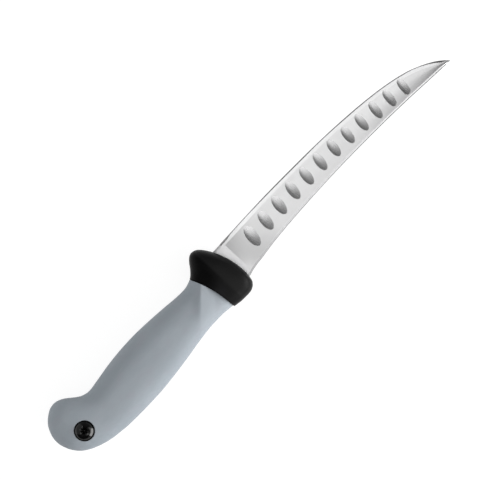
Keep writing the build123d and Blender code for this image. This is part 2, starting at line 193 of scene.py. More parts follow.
# Pommel screw and nut
SCREW_INSET = 14.1
SCREW_Y = -2.926
ROUND_POINTS = 120
HEAD_DIAMETER = 9.6
HEAD_HEIGHT = 3.0
HEAD_UNDER_BREAK = 0.15
HEAD_RIM = 1.2
HEAD_MOUTH_HEIGHT = 2.7
HEAD_MOUTH_SLOPE = 0.36
HEAD_CURVE_RADIUS = 6.5
HEAD_CURVE_STEPS = 6
RECESS_REACH = 2.2
RECESS_LOBE = 0.38
RECESS_LOBES = 6
RECESS_LAND = 0.12
RECESS_MOUTH = ((0.1, -0.01), (0.03, 0.02), (0, 0.12))  # out from its wall and down
RECESS_DEPTH = 1.6
RECESS_FLOOR = ((0.05, 0.1, 1), (0.2, 0, 0.9))  # in from its wall, up, share of the lobes
RECESS_CONE_DEGREES = 30
RECESS_TIP_REACH = 0.4
RECESS_TIP_SHARE = 0.8  # of the cone's depth
SHANK_DIAMETER = 5.0
SHANK_LENGTH = 13.0
SHANK_END_BREAK = 0.4
SHANK_FILLET = 0.3
SLEEVE_DIAMETER = 7.2
SLEEVE_LENGTH = 16.5
SLEEVE_FLOOR = 1.0
SLEEVE_BREAK = 0.2
SCREW_X = FRONT_X - HANDLE_LENGTH + SCREW_INSET
PAD_Z = GUARD_THICKNESS / 2 - HEAD_HEIGHT

# Hole for the screw in the grip, with a rounded lip and a flare over it
HOLE_DIAMETER = 10.8
HOLE_POINTS = 128
HOLE_LIP = 0.35
HOLE_LIP_TURNS = (0, 22, 45, 67, 90)
HOLE_FLARE_SHARE = 1.6
HOLE_FLARE_RISE = 0.6
HOLE_REACH = 20.0

# Angles above which an edge is shaded sharp
SHARP_DEGREES = 35
SCREW_SHARP_DEGREES = 38

# Zones of the blade's finish, stored on its faces
ZONES = {"corner": 0, "band": 1, "flat": 2, "bevel": 3, "edge": 4, "hollow": 5, "ricasso": 6}

# Blade outline: place along the blade, edge and spine as shares of its depth
BLADE_SHARES = (
    (-0.070, 0.496, -0.516),
    (0.000, 0.496, -0.500),
    (0.017, 0.496, -0.472),
    (0.045, 0.496, -0.445),
    (0.070, 0.496, -0.434),
    (0.136, 0.496, -0.389),
    (0.229, 0.491, -0.356),
    (0.355, 0.462, -0.340),
    (0.481, 0.418, -0.344),
    (0.600, 0.350, -0.368),
    (0.706, 0.261, -0.402),
    (0.792, 0.155, -0.440),
    (0.865, 0.022, -0.482),
    (0.918, -0.132, -0.513),
    (0.958, -0.289, -0.535),
    (0.984, -0.430, -0.548),
    (1.000, -0.543, -0.558),
)

# Width of the cutting edge's bevel along the blade, as a share of its widest
MICRO_SHARES = (
    (0.000, 1.00),
    (0.027, 0.98),
    (0.040, 0.84),
    (0.055, 0.50),
    (0.090, 0.40),
    (0.140, 0.37),
    (0.200, 0.50),
    (0.330, 0.58),
    (0.420, 0.56),
    (0.480, 0.45),
    (0.540, 0.45),
    (0.620, 0.55),
    (0.740, 0.47),
    (0.860, 0.46),
    (0.895, 0.34),
    (0.930, 0.50),
    (0.955, 0.78),
    (0.975, 1.10),
    (1.000, 1.10),
)

# Grip: place from the end of the pommel to the front of its form, edge side and spine
# side as shares of the two reaches, thickness as a share of the grip's
GRIP_SHARES = (
    (0.000, 0.219, 0.205, 0.000),
    (0.0052, 0.422, 0.000, 0.263),
    (0.015, 0.563, -0.172, 0.439),
    (0.026, 0.678, -0.296, 0.579),
    (0.0374, 0.757, -0.398, 0.675),
    (0.051, 0.830, -0.488, 0.754),
    (0.086, 0.957, -0.644, 0.877),
    (0.104, 0.983, -0.700, 0.912),
    (0.122, 0.985, -0.754, 0.934),
    (0.140, 0.957, -0.795, 0.947),
    (0.159, 0.902, -0.834, 0.956),
    (0.177, 0.820, -0.862, 0.956),
    (0.194, 0.728, -0.890, 0.953),
    (0.213, 0.633, -0.908, 0.952),
    (0.230, 0.568, -0.924, 0.952),
    (0.266, 0.510, -0.958, 0.956),
    (0.338, 0.552, -0.986, 0.978),
    (0.409, 0.605, -1.000, 0.996),
    (0.499, 0.639, -0.997, 1.000),
    (0.589, 0.637, -0.959, 0.982),
    (0.679, 0.597, -0.903, 0.947),
    (0.768, 0.539, -0.835, 0.912),
    (0.840, 0.484, -0.795, 0.890),
    (0.894, 0.469, -0.795, 0.895),
    (0.929, 0.516, -0.801, 0.925),
    (0.948, 0.578, -0.818, 0.947),
    (0.966, 0.672, -0.834, 0.969),
    (0.983, 0.767, -0.850, 0.982),
    (1.000, 0.839, -0.862, 0.991),
)

# Guard: the same, from the apex of its front
GUARD_SHARES = (
    (0.000, -0.330, -0.365, 0.000),
    (0.012, -0.115, -0.597, 0.425),
    (0.039, 0.110, -0.764, 0.767),
    (0.078, 0.300, -0.846, 0.875),
    (0.121, 0.470, -0.897, 0.933),
    (0.199, 0.690, -0.947, 0.983),
    (0.282, 0.860, -0.958, 1.000),
    (0.361, 0.960, -0.955, 1.000),
    (0.463, 1.000, -0.947, 1.000),
    (0.526, 0.982, -0.936, 1.000),
    (0.589, 0.924, -0.919, 0.995),
    (0.648, 0.843, -0.902, 0.985),
    (0.705, 0.747, -0.888, 0.966),
    (0.764, 0.663, -0.874, 0.942),
    (0.847, 0.569, -0.857, 0.912),
    (1.000, 0.480, -0.829, 0.875),
)


def smooth_through(rows, place, column):
    """Value of a table's column at a place, on a smooth curve through its rows."""
    last = len(rows) - 1
    place = min(max(place, rows[0][0]), rows[last][0])
    after = 1
    while after < last and rows[after][0] < place:
        after += 1
    before = after - 1

    def slope(number):
        low, high = max(number - 1, 0), min(number + 1, last)
        return (rows[high][column] - rows[low][column]) / (rows[high][0] - rows[low][0])

    span = rows[after][0] - rows[before][0]
    part = (place - rows[before][0]) / span
    rise = rows[after][column] - rows[before][column]
    bend = 3 * part**2 - 2 * part**3
    enter = slope(before) * span * (part - 2 * part**2 + part**3)
    leave = slope(after) * span * (part**3 - part**2)
    return rows[before][column] + rise * bend + enter + leave


def ease(value):
    """0 to 1 with a soft start and end."""
    value = min(max(value, 0), 1)
    return value * value * (3 - 2 * value)


def squared(value):
    """One coordinate of a squared oval of unit size, from a cosine or sine."""
    return abs(value) ** (2 / SQUARENESS) * (1 if value > 0 else -1)


def rounded_form(shares, pole_x, far_x, half_thickness):
    """Middle, half depth and half thickness at any x, of a form with a rounded end."""
    roots = [(sqrt(row[0]), *row[1:]) for row in shares]

    def form(x, skin=0):
        root = sqrt(min(max((x - pole_x) / (far_x - pole_x), 0), 1))
        edge = LOBE_REACH * smooth_through(roots, root, 1)
        spine = PALM_REACH * smooth_through(roots, root, 2)
        half = half_thickness * smooth_through(roots, root, 3)
        half_depth = max((edge - spine) / 2 - skin, 0)
        return AXIS_Y + (edge + spine) / 2, half_depth, max(half - skin, 0)

    return form


def ring_on(form, place, bend, points, skin=0, grow=0):
    """Ring round a form; its x bends back by a share of the seam's arc."""
    ring = []
    for number in range(points):
        turn = 2 * pi * number / points
        y = AXIS_Y
        for _ in range(SEAM_TRIES if bend else 1):
            x = place + bend * seam_sag(y)
            middle, half_depth, half = form(x, skin)
            y = middle + (half_depth + grow) * squared(cos(turn))
        ring.append((x, y, (half + grow) * squared(sin(turn))))
    return ring


def seam_sag(y):
    """X of the seam's arc at a height across the grip, from its foremost point."""
    across = y - (AXIS_Y - SEAM_DROP)
    return sqrt(SEAM_RADIUS**2 - across**2) - SEAM_RADIUS


def stepped(start, spans):
    """Places from a start on, in steps of a size up to each limit."""
    places, place = [], start
    for limit, step in spans:
        while place < limit:
            places.append(place)
            place += step
    return places


def remove_piece(piece):
    """Remove a piece and its mesh."""
    mesh = piece.data
    bpy.data.objects.remove(piece)
    bpy.data.meshes.remove(mesh)


def ringed(name, rings, zones=None):
    """Closed piece from rings of points; a ring of one point closes an end."""
    shape = bmesh.new()
    rows = []
    for ring in rings:
        rows.append([shape.verts.new((x * MM, y * MM, (z + MID_Z) * MM)) for x, y, z in ring])
    layer = shape.faces.layers.float.new("finish") if zones else None

    def close(corners, *place):
        face = shape.faces.new(corners)
        if zones:
            face[layer] = ZONES[zones(*place) if place else "corner"]

    for index, (row, following) in enumerate(zip(rows, rows[1:])):
        count = max(len(row), len(following))
        for number in range(count):
            after = (number + 1) % count
            corners = [row[number % len(row)], row[after % len(row)]]
            corners += [following[after % len(following)], following[number % len(following)]]
            corners = list(dict.fromkeys(corners))
            if len(corners) > 2:
                close(corners, index, number)
    for row in (rows[0], rows[-1]):
        if len(row) > 2:
            close(row)
    bmesh.ops.recalc_face_normals(shape, faces=shape.faces)
    mesh = bpy.data.meshes.new(name)
    shape.to_mesh(mesh)
    shape.free()
    piece = bpy.data.objects.new(name, mesh)
    bpy.context.scene.collection.objects.link(piece)
    return piece


def settle(piece):
    """Make a piece's modifiers part of its mesh."""
    bpy.context.view_layer.update()
    result = piece.evaluated_get(bpy.context.evaluated_depsgraph_get())
    mesh = bpy.data.meshes.new_from_object(result)
    piece.modifiers.clear()
    before = piece.data
    piece.data = mesh
    bpy.data.meshes.remove(before)
    mesh.name = piece.name


def carve(piece, cutters):
    """Cut bodies out of a piece and delete them."""
    for cutter in cutters:
        change = piece.modifiers.new(cutter.name, "BOOLEAN")
        change.operation = "DIFFERENCE"
        change.solver = "EXACT"
        change.object = cutter
    settle(piece)
    for cutter in cutters:
        remove_piece(cutter)


def smooth_shade(piece, sharp_degrees):
    """Smooth shading with sharp edges above an angle."""
    for face in piece.data.polygons:
        face.use_smooth = True
    piece.data.set_sharp_from_angle(angle=radians(sharp_degrees))


def round_ring(reach, z, side, lobe=0.0, slope=0.0, points=ROUND_POINTS):
    """Ring about the screw's axis, with six lobes and a rise between them where asked."""
    ring = []
    for number in range(points):
        turn = 2 * pi * number / points
        out = reach + lobe * cos(RECESS_LOBES * turn)
        up = z + slope * (reach + lobe - out)
        ring.append((SCREW_X + out * cos(turn), SCREW_Y + out * sin(turn), side * up))
    return ring


def slab_body(name, low, high):
    """Square body between two corners."""
    (x0, y0, z0), (x1, y1, z1) = low, high
    corners = ((x0, y0), (x1, y0), (x1, y1), (x0, y1))
    return ringed(name, [[(x, y, z) for x, y in corners] for z in (z0, z1)])


# Node trees
def worker(operation, swapped=False):
    """Method that adds the node of one operation."""

    def method(self, *others):
        return self.work(operation, *((*others, self) if swapped else (self, *others)))

    return method


class Term:
    """An output socket that takes part in sums and products."""

    __add__, __radd__ = worker("ADD"), worker("ADD", True)
    __sub__, __rsub__ = worker("SUBTRACT"), worker("SUBTRACT", True)
    __mul__, __rmul__ = worker("MULTIPLY"), worker("MULTIPLY", True)
    __truediv__ = worker("DIVIDE")
    less, above, most = worker("LESS_THAN"), worker("GREATER_THAN"), worker("MAXIMUM")
    sine, cosine = worker("SINE"), worker("COSINE")

    def __init__(self, tree, socket):
        self.tree = tree
        self.socket = socket

    def work(self, operation, *values):
        """Result of one operation on values and terms."""
        made = self.tree.add("ShaderNodeMath", dict(enumerate(values)), operation=operation)
        return made[0]

    def near(self, value, reach=0.5):
        return self.work("COMPARE", self, value, reach)

    def soft(self, low, high):
        """0 below low, 1 above high, smooth between."""
        values = {"Value": self, "From Min": low, "From Max": high}
        made = self.tree.add("ShaderNodeMapRange", values, interpolation_type="SMOOTHSTEP")
        return made["Result"]


class Made:
    """A node whose outputs are read by name or number."""

    def __init__(self, tree, node):
        self.tree = tree
        self.node = node

    def __getitem__(self, key):
        return Term(self.tree, self.node.outputs[key])


class Tree:
    """A node tree and the one way in which its nodes are made."""

    def __init__(self, nodes):
        self.nodes = nodes

    def add(self, kind, inputs=None, **settings):
        """Node with its settings, and its inputs set or linked."""
        node = self.nodes.nodes.new(kind)
        for name, value in settings.items():
            setattr(node, name, value)
        for key, value in (inputs or {}).items():
            for one in value if isinstance(value, list) else [value]:
                if isinstance(one, Term):
                    self.nodes.links.new(one.socket, node.inputs[key])
                else:
                    node.inputs[key].default_value = one
        return Made(self, node)

    def split(self, vector):
        """X, Y and Z of a vector."""
        return self.add("ShaderNodeSeparateXYZ", {0: vector})

    def join(self, x, y, z=0.0):
        """Vector from its X, Y and Z."""
        return self.add("ShaderNodeCombineXYZ", {0: x, 1: y, 2: z})[0]

    def spot(self):
        """X, Y and Z on the piece, in metres."""
        return self.split(self.add("ShaderNodeTexCoord")["Object"])

    def mix(self, share, first, second):
        """Colour between two colours."""
        values = {0: share, 6: first, 7: second}
        return self.add("ShaderNodeMix", values, data_type="RGBA", clamp_factor=True)[2]

    def grain(self, scale, stretch=(1, 1, 1), detail=2.0, roughness=0.5):
        """Noise on the piece's own coordinates, so many waves to the metre."""
        place = self.add("ShaderNodeTexCoord")["Object"]
        place = self.add("ShaderNodeMapping", {"Vector": place, "Scale": stretch})["Vector"]
        values = {"Vector": place, "Scale": scale, "Detail": detail, "Roughness": roughness}
        return self.add("ShaderNodeTexNoise", values)["Fac"]

    def bump(self, height, distance, strength):
        """Normal of a relief, its distance in metres."""
        values = {"Height": height, "Distance": distance, "Strength": strength}
        return self.add("ShaderNodeBump", values)["Normal"]


def new_finish(name):
    """A material with an empty tree."""
    finish = bpy.data.materials.new(name)
    finish.use_nodes = True
    finish.node_tree.nodes.clear()
    return finish, Tree(finish.node_tree)


def close_finish(tree, colour, roughness, normal, gloss=0.5, metallic=0.0):
    """Principled surface and output of a finish."""
    inputs = {
        "Base Color": colour,
        "Metallic": metallic,
        "Roughness": roughness,
        "Specular IOR Level": gloss,
        "Normal": normal,
    }
    surface = tree.add("ShaderNodeBsdfPrincipled", inputs)
    tree.add("ShaderNodeOutputMaterial", {"Surface": surface["BSDF"]})


def grey(level, blue=0.0):
    """A neutral colour, a little towards blue."""
    return (level, level, level * (1 + blue), 1.0)


# Tones of the steel: over all, painted shade at the heel and at the tip, and of each zone
STEEL_TINT = 0.004
STEEL_TONES = (0.765, 0.815)
HEEL_PAINTED_SHADE_TONE = 0.61
HEEL_SHADE_RUN = (6.0, 34.0)
TIP_PAINTED_SHADE_TONE = 0.715
TIP_SHADE_RUN = (112.0, 136.0)
ZONE_TINT = 0.006
# The bevel's lighter tone is a painted highlight and the edge's dark tone is painted shade
ZONE_TONES_AND_PAINTED_LIGHT = {"bevel": 0.86, "edge": 0.22, "ricasso": 0.60}
ZONE_DRIFTS = {"hollow": (0.45, 0.42), "band": (0.42, 0.50), "corner": (0.28, 0.30)}
# Painted shade on the spine band near the heel
HEEL_BAND_PAINTED_SHADE = 0.32

# Roughness of the steel: over all, and how each zone departs from its mean
STEEL_ROUGHNESS = 0.30
STEEL_MEAN_ROUGHNESS = 0.34
ZONE_ROUGHNESS = {"bevel": 0.42, "hollow": 0.27, "edge": 0.34, "band": 0.38, "corner": 0.5}
HOLLOW_POLISH = 0.97

# Tones of the black mouldings, each between two, and their shine
CORE_TONES = (grey(0.0040), grey(0.0054, 0.1))
CORE_ROUGHNESS = 0.45
GUARD_TONES = (grey(0.0034), grey(0.0046, 0.2))
# Painted light greys the guard's front and painted shade blackens the scoop behind it, fading
# over these spans
GUARD_FRONT_PAINTED_LIGHT = grey(0.0080)
GUARD_SCOOP_PAINTED_SHADE = grey(0.0003)
GUARD_LIGHT_TO_SHADE_FADE = (SCOOP_START - 1.0, SCOOP_START + 1.2)
GUARD_PAINTED_SHADE_SIDE_FADE = (SCOOP_SIDE[0], SCOOP_SIDE[1] - 2.5)
GUARD_ROUGHNESS = 0.40
MOULDING_GLOSS = 0.06

# Tones of the soft grip
RUBBER_TONES = ((0.258, 0.292, 0.322, 1.0), (0.292, 0.325, 0.356, 1.0))
RUBBER_PATCH_TONE = (0.284, 0.292, 0.330, 1.0)
RUBBER_RUBBED_TONE = (0.345, 0.368, 0.392, 1.0)
# Painted light on the thumb's rest, and how much of it
RUBBER_THUMB_PAINTED_LIGHT = (0.345, 0.378, 0.410, 1.0)
RUBBER_THUMB_PAINTED_LIGHT_SHARE = 0.7
RUBBER_ROUGHNESS = 0.58
RUBBER_GLOSS = 0.35

# Tones of the screw and the dowels
OXIDE_TONES = (grey(0.0008, 0.15), grey(0.003, 0.15))
OXIDE_ROUGHNESS = 0.10
OXIDE_GLOSS = 0.36
DOWEL_TONES = (grey(0.50), grey(0.58))
DOWEL_ROUGHNESS = 0.32


def satin_steel():
    """Ground steel of the blade: zones from the faces, grain across the blade, painted shade at
    heel, tip and edge, a painted highlight on the bevel.
    """
    finish, tree = new_finish("blade_steel")
    zone = tree.add("ShaderNodeAttribute", attribute_name="finish")["Fac"]
    cloud = tree.grain(38.0, (1, 2.2, 1), 3.0)
    lines = tree.grain(1.0, (6500, 260, 260), 2.0, 0.6)
    brushed = tree.grain(1.0, (1400, 90, 90), 2.0, 0.5)
    along = tree.spot()["X"]

    def past(run):
        """0 up to the start of a run along the blade, 1 from its end on."""
        return along.soft(*((FRONT_X + place) * MM for place in run))

    past_heel_shade = past(HEEL_SHADE_RUN)
    dull, bright = (grey(tone, STEEL_TINT) for tone in STEEL_TONES)
    colour = tree.mix(cloud.soft(0.3, 0.7), dull, bright)
    # Painted shade: the steel darker towards the heel and its plunge
    colour = tree.mix(past_heel_shade, grey(HEEL_PAINTED_SHADE_TONE, STEEL_TINT), colour)
    # Painted shade: the steel darker towards the tip
    colour = tree.mix(past(TIP_SHADE_RUN), colour, grey(TIP_PAINTED_SHADE_TONE, STEEL_TINT))
    # Zone tones, with a painted highlight on the bevel and painted shade on the edge
    for name, tone in ZONE_TONES_AND_PAINTED_LIGHT.items():
        colour = tree.mix(zone.near(ZONES[name]), colour, grey(tone, ZONE_TINT))
    gone = past((0, BLADE_LENGTH))
    for name, (heel, tip) in ZONE_DRIFTS.items():
        drifting = tree.mix(gone, grey(heel, ZONE_TINT), grey(tip, ZONE_TINT))
        if name == "band":
            # The band also takes the painted shade at the heel
            drifting = tree.mix(past_heel_shade, grey(HEEL_BAND_PAINTED_SHADE, ZONE_TINT), drifting)
        colour = tree.mix(zone.near(ZONES[name]), colour, drifting)
    rough = STEEL_ROUGHNESS + 0.05 * lines + 0.04 * cloud
    for name, level in ZONE_ROUGHNESS.items():
        rough = rough + zone.near(ZONES[name]) * (level - STEEL_MEAN_ROUGHNESS)
    polished = HOLLOW_POLISH * zone.near(ZONES["hollow"])
    height = (lines * 0.6 + brushed * 0.4) * (1 - polished)
    close_finish(tree, colour, rough, tree.bump(height, 0.000004, 0.35), metallic=1.0)
    return finish


def close_moulding(tree, colour, roughness):
    """Surface of a black moulding, dulled by rubbing and with a fine grain."""
    fine = tree.grain(5200.0, detail=2.0)
    rubbed = tree.grain(1.0, (260, 900, 900), 3.0, 0.6)
    roughness = roughness + 0.08 * rubbed.soft(0.4, 0.75) + 0.04 * fine
    close_finish(tree, colour, roughness, tree.bump(fine, 0.00003, 0.25), MOULDING_GLOSS)


def core_moulding():
    """Black plastic of the cores."""
    finish, tree = new_finish("core_plastic")
    cloud = tree.grain(120.0, detail=3.0)
    close_moulding(tree, tree.mix(cloud.soft(0.35, 0.7), *CORE_TONES), CORE_ROUGHNESS)
    return finish


def guard_moulding():
    """Black plastic of the guard, with painted light that greys its front and painted shade that
    blackens the scoop behind it.
    """
    finish, tree = new_finish("guard_plastic")
    cloud = tree.grain(120.0, detail=3.0)
    spot = tree.spot()
    past_lit_front = (FRONT_X - spot["X"] / MM).soft(*GUARD_LIGHT_TO_SHADE_FADE)
    shaded_finger_side = (spot["Y"] / MM).soft(*GUARD_PAINTED_SHADE_SIDE_FADE)
    colour = tree.mix(cloud.soft(0.35, 0.7), *GUARD_TONES)
    # Painted light: greyer towards the front
    colour = tree.mix(past_lit_front, GUARD_FRONT_PAINTED_LIGHT, colour)
    # Painted shade: blackest in the scoop on the finger side
    colour = tree.mix(past_lit_front * shaded_finger_side, colour, GUARD_SCOOP_PAINTED_SHADE)
    close_moulding(tree, colour, GUARD_ROUGHNESS)
    return finish


def on_crease(x, y):
    """How far a point of the grip is along the crease, and away to the finger side."""
    run_x, run_y = CREASE_START[0] - CREASE_END[0], CREASE_END[1] - CREASE_START[1]
    run = hypot(run_x, run_y)
    from_x, from_y = x - (FRONT_X - CREASE_START[0]), y - (AXIS_Y + CREASE_START[1])
    along = (from_x * run_x + from_y * run_y) / run
    return along, (from_x * run_y - from_y * run_x) / run


def soft_rubber():
    """Grey-blue elastomer of the grip: matt, clouded, rubbed in places, with painted light on the
    thumb's rest.
    """
    finish, tree = new_finish("grip_rubber")
    cloud = tree.grain(34.0, (1, 2.4, 2.4), 4.0, 0.55)
    patch = tree.grain(150.0, (1, 1.5, 1.5), 3.0)
    fine = tree.grain(3600.0, detail=3.0, roughness=0.6)
    rubbed = tree.grain(1.0, (70, 520, 520), 3.0, 0.6)
    spot = tree.spot()
    along, away = on_crease(spot["X"] / MM, spot["Y"] / MM)
    # Painted light on the thumb's side of the crease, fading along it
    painted_light_thumb_side = (0 - away).soft(0.0, 1.0) * (1 - along.soft(*THUMB_FADE))
    colour = tree.mix(cloud.soft(0.3, 0.7), *RUBBER_TONES)
    colour = tree.mix(patch.soft(0.45, 0.8) * 0.5, colour, RUBBER_PATCH_TONE)
    colour = tree.mix(rubbed.soft(0.62, 0.85) * 0.3, colour, RUBBER_RUBBED_TONE)
    colour = tree.mix(painted_light_thumb_side * RUBBER_THUMB_PAINTED_LIGHT_SHARE, colour, RUBBER_THUMB_PAINTED_LIGHT)
    roughness = RUBBER_ROUGHNESS + 0.10 * fine + 0.06 * cloud
    close_finish(tree, colour, roughness, tree.bump(fine, 0.00005, 0.35), RUBBER_GLOSS)
    return finish


def oiled_black():
    """Black oxide of the screw and the nut."""
    finish, tree = new_finish("screw_steel")
    fine = tree.grain(2600.0, detail=3.0)
    cloud = tree.grain(420.0, detail=3.0)
    colour = tree.mix(cloud.soft(0.5, 0.8), *OXIDE_TONES)
    roughness = OXIDE_ROUGHNESS + 0.08 * cloud
    close_finish(tree, colour, roughness, tree.bump(fine, 0.00001, 0.3), OXIDE_GLOSS)
    return finish


def drawn_steel():
    """Plain drawn steel of the dowels."""
    finish, tree = new_finish("pin_steel")
    lines = tree.grain(1.0, (900, 900, 9000), 2.0)
    colour, roughness = tree.mix(lines, *DOWEL_TONES), DOWEL_ROUGHNESS + 0.12 * lines
    close_finish(tree, colour, roughness, tree.bump(lines, 0.000005, 0.3), metallic=1.0)
    return finish


# Blade
def blade_ring(station):
    """One section of the blade at a place ahead of the guard's front, spine first."""
    share = station / BLADE_LENGTH
    edge = BLADE_DEPTH * smooth_through(BLADE_SHARES, share, 1)
    spine = BLADE_DEPTH * smooth_through(BLADE_SHARES, share, 2)
    half = BLADE_THICKNESS / 2 - (BLADE_THICKNESS - TIP_THICKNESS) / 2 * max(share, 0)
    ground = 1 - (1 - min(max((station - PLUNGE) / PLUNGE_RUN, 0), 1)) ** PLUNGE_POWER
    limit = (edge - spine) * BAND_LIMIT_SHARE
    band = min(SPINE_BAND, limit)
    corner = min(SPINE_CORNER, limit / 3)
    bevel = min(BEVEL_WIDTH, 2 * limit)
    micro = MICRO_WIDTH * smooth_through(MICRO_SHARES, share, 1)
    micro = min(micro, (edge - spine) * MICRO_LIMIT_SHARE)

    def height(full):
        return half + (full - half) * ground

    low = half - SPINE_BAND_DROP
    rows = []
    for across, down in SPINE_CORNER_ROUND:
        rows.append((spine + across * corner, low - down * corner))
    rows.append((spine + band, half))
    flat_start, flat_end = spine + band, edge - bevel
    early, late = CUPPED_TIP_RUN
    fall = CUPPED_HEEL_SHARE + (CUPPED_SHARE - CUPPED_HEEL_SHARE) * ease(station / CUPPED_RUN)
    fall += (CUPPED_TIP_SHARE - CUPPED_SHARE) * ease((station - early) / (late - early))
    for number in range(1, FLAT_STEPS + 1):
        part = number / FLAT_STEPS
        fallen = (1 - fall) * part + fall * (1 - max(1 - part / CUPPED_REACH_SHARE, 0) ** 2)
        full = half + (BEVEL_THICKNESS / 2 - half) * fallen
        rows.append((flat_start + (flat_end - flat_start) * part, height(full)))
    middle = (BEVEL_THICKNESS + MICRO_THICKNESS) / 4
    rows.append((edge - (bevel + micro) / 2, height(middle)))
    rows.append((edge - micro, height(MICRO_THICKNESS / 2)))
    blunt = 1 - ease((station - SHARPENED_START) / SHARPENED_RUN)
    unground = height(MICRO_THICKNESS / 2) - BLUNT_DROP
    rows.append((edge - BLUNT_INSET * blunt, unground * blunt + EDGE_HALF))
    x = FRONT_X + station
    upper = [(x, AXIS_Y + y, z) for y, z in rows]
    return upper + [(x, y, -z) for x, y, z in reversed(upper)]


def blade_zone(stations):
    """Which finish a face of the blade has."""
    names = ["corner", "corner", "band"] + ["flat"] * FLAT_STEPS + ["bevel"] * 2 + ["edge"]

    def zone(index, number):
        count = 2 * len(names) + 2
        if number == len(names):
            return "edge"
        if number == count - 1:
            return "corner"
        name = names[number if number < len(names) else count - 2 - number]
        if name in ("flat", "bevel") and stations[index + 1] <= PLUNGE + 0.01:
            return "ricasso"
        if name == "edge" and stations[index] < SHARPENED_START:
            return "ricasso"
        return name

    return zone


def blade_stations():
    """Places of the blade's sections, closer together at the plunge and the tip."""
    places = {*HEEL_STATIONS, *stepped(FIRST_STATION, STATION_SPANS), PLUNGE}
    return sorted(places) + [BLADE_LENGTH]


def hollow_tree(finish):
    """Tree that grinds a row of hollows into both sides of the blade."""
    group = bpy.data.node_groups.new("grind_hollows", "GeometryNodeTree")
    face = group.interface
    face.new_socket("Blade", in_out="INPUT", socket_type="NodeSocketGeometry")
    sizes = {
        "Start": (FRONT_X + HOLLOW_START) * MM,
        "Row Length": (BLADE_LENGTH - HOLLOW_START - HOLLOW_TIP_SETBACK) * MM,
        "Crowding": HOLLOW_CROWDING_SHARE,
        "Length": HOLLOW_LENGTH * MM,
        "End Length": HOLLOW_END_LENGTH * MM,
        "Width": HOLLOW_WIDTH * MM,
        "End Width": HOLLOW_END_WIDTH * MM,
        "Depth": HOLLOW_DEPTH * MM,
        "Rise": HOLLOW_RISE * MM,
        "Slant": radians(HOLLOW_SLANT),
        "Far Side Lag": FAR_SIDE_LAG_SHARE,
    }
    keys = {}
    count = face.new_socket("Count", in_out="INPUT", socket_type="NodeSocketInt")
    keys[count.identifier] = HOLLOW_COUNT
    for name, value in sizes.items():
        socket = face.new_socket(name, in_out="INPUT", socket_type="NodeSocketFloat")
        keys[socket.identifier] = value
    face.new_socket("Ground", in_out="OUTPUT", socket_type="NodeSocketGeometry")

    tree = Tree(group)
    given = tree.add("NodeGroupInput")
    body = tree.add("GeometryNodeTriangulate", {"Mesh": given["Blade"]})["Mesh"]
    values = {"Vertices": WHEEL_POINTS, "Fill Segments": WHEEL_RINGS, "Radius": WHEEL_REACH}
    wheel = tree.add("GeometryNodeMeshCylinder", values, fill_type="TRIANGLE_FAN")["Mesh"]
    spot = tree.split(tree.add("GeometryNodeInputPosition")[0])
    off_centre = spot["X"] * spot["X"] + spot["Y"] * spot["Y"]
    dish = given["Depth"] * (off_centre - 1)
    height = spot["Z"].above(0) * (WHEEL_HEIGHT * MM) + spot["Z"].less(0) * dish
    dished = {"Geometry": wheel, "Position": tree.join(spot["X"], spot["Y"], height)}
    wheel = tree.add("GeometryNodeSetPosition", dished)[0]
    wheel = tree.add("GeometryNodeTriangulate", {"Mesh": wheel})["Mesh"]
    values = {"Geometry": wheel, "Name": "finish", "Value": float(ZONES["hollow"])}
    marked = tree.add("GeometryNodeStoreNamedAttribute", values, data_type="FLOAT", domain="FACE")
    wheel = marked["Geometry"]

    def probe(x, y, z, aim):
        """Where a ray from a place meets the blade."""
        values = {
            "Target Geometry": body,
            "Source Position": tree.join(x, y, z),
            "Ray Direction": aim,
            "Ray Length": PROBE_LENGTH * MM,
        }
        return tree.add("GeometryNodeRaycast", values)

    index = tree.add("GeometryNodeInputIndex")[0]
    slant = given["Slant"]
    lengthwise = tree.join(slant.sine(), slant.cosine())
    cutters = []
    for side, late in ((1, 0.0), (-1, 1.0)):
        row = tree.add("GeometryNodeMeshLine", {"Count": given["Count"]})["Mesh"]
        step = (index + given["Far Side Lag"] * late) / (given["Count"] - 1)
        share = step * (1 + given["Crowding"] * (1 - step))
        x = given["Start"] + given["Row Length"] * share
        done = index / (given["Count"] - 1)
        half_length = (given["Length"] + done * (given["End Length"] - given["Length"])) / 2
        half_width = (given["Width"] + done * (given["End Width"] - given["Width"])) / 2
        inside = (x, (AXIS_Y - PROBE_DROP) * MM, (MID_Z + PROBE_LIFT) * MM)
        edge_y, spine_y = (
            tree.split(probe(*inside, (0, aim, 0))["Hit Position"])["Y"] for aim in (1, -1)
        )
        centre_y = (edge_y + spine_y) / 2 + given["Rise"]
        skin = probe(x, centre_y, MID_Z * MM + side * PROBE_HEIGHT * MM, (0, 0, -side))
        values = {"Geometry": row, "Position": skin["Hit Position"]}
        row = tree.add("GeometryNodeSetPosition", values)[0]
        align = "FunctionNodeAlignRotationToVector"
        upright = tree.add(align, {"Vector": skin["Hit Normal"]}, axis="Z")[0]
        values = {"Rotation": upright, "Vector": lengthwise}
        turned = tree.add(align, values, axis="Y", pivot_axis="Z")[0]
        size = tree.join(half_width, half_length, half_length * 2 / given["Length"])
        values = {"Points": row, "Instance": wheel, "Rotation": turned, "Scale": size}
        placed = tree.add("GeometryNodeInstanceOnPoints", values)["Instances"]
        cutters.append(tree.add("GeometryNodeRealizeInstances", {"Geometry": placed})[0])
    values = {"Mesh 1": body, "Mesh 2": cutters}
    cut = tree.add("GeometryNodeMeshBoolean", values, operation="DIFFERENCE", solver="EXACT")
    ground = tree.add("GeometryNodeRealizeInstances", {"Geometry": cut["Mesh"]})[0]
    values = {"Geometry": ground, "Material": finish}
    tree.add("NodeGroupOutput", {0: tree.add("GeometryNodeSetMaterial", values)[0]})
    return group, keys


